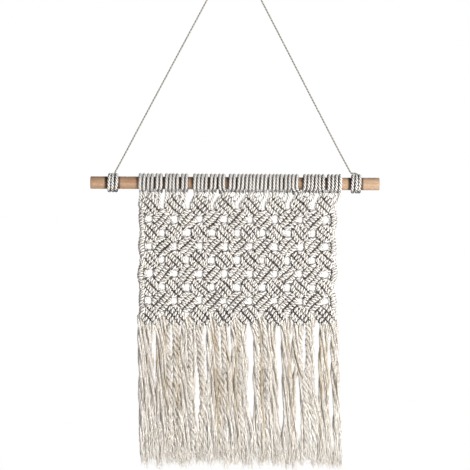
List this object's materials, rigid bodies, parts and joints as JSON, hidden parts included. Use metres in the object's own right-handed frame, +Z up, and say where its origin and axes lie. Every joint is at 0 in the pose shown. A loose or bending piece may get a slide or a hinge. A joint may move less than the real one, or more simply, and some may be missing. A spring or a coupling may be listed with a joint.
{
  "type": "macrame wall hanging with wooden dowel",
  "caption": "Flat macrame panel of slanted knotted blocks with a long fringe, tied to a round wooden dowel that hangs by a thin string.",
  "frame": {"origin": "top of the hanging string, at the middle of the string where a nail or hook holds it", "axes": "+Z up, +X to the right as seen from the front, +Y towards the wall behind; the dowel lies along X"},
  "size_m": [0.3, 0.022, 0.5345],
  "materials": {
    "dowel_wood": "bare sanded round wood, warm tan with fine grain",
    "cotton_cord": "twisted cotton cord, natural off-white, matt",
    "combed_cotton": "cotton cord ends opened into wavy yarns, matt",
    "twine": "thin twisted natural twine, matt"
  },
  "bodies": {
    "root": {"dowel": "dowel_wood", "lark_head_01": "cotton_cord", "lark_head_02": "cotton_cord", "lark_head_03": "cotton_cord", "lark_head_04": "cotton_cord", "lark_head_05": "cotton_cord", "lark_head_06": "cotton_cord", "lark_head_07": "cotton_cord", "lark_head_08": "cotton_cord", "lark_head_09": "cotton_cord", "lark_head_10": "cotton_cord", "lark_head_11": "cotton_cord", "lark_head_12": "cotton_cord", "lark_head_13": "cotton_cord", "lark_head_14": "cotton_cord", "lark_head_15": "cotton_cord", "lark_head_16": "cotton_cord", "lark_head_17": "cotton_cord", "lark_head_18": "cotton_cord", "lark_head_19": "cotton_cord", "lark_head_20": "cotton_cord", "lark_head_21": "cotton_cord", "lark_head_22": "cotton_cord", "lark_head_23": "cotton_cord", "lark_head_24": "cotton_cord", "hanger_tie_left": "cotton_cord", "hanger_tie_right": "cotton_cord", "knotted_panel": "cotton_cord", "fringe": "combed_cotton", "hanging_string": "twine"}
  },
  "joints": []
}
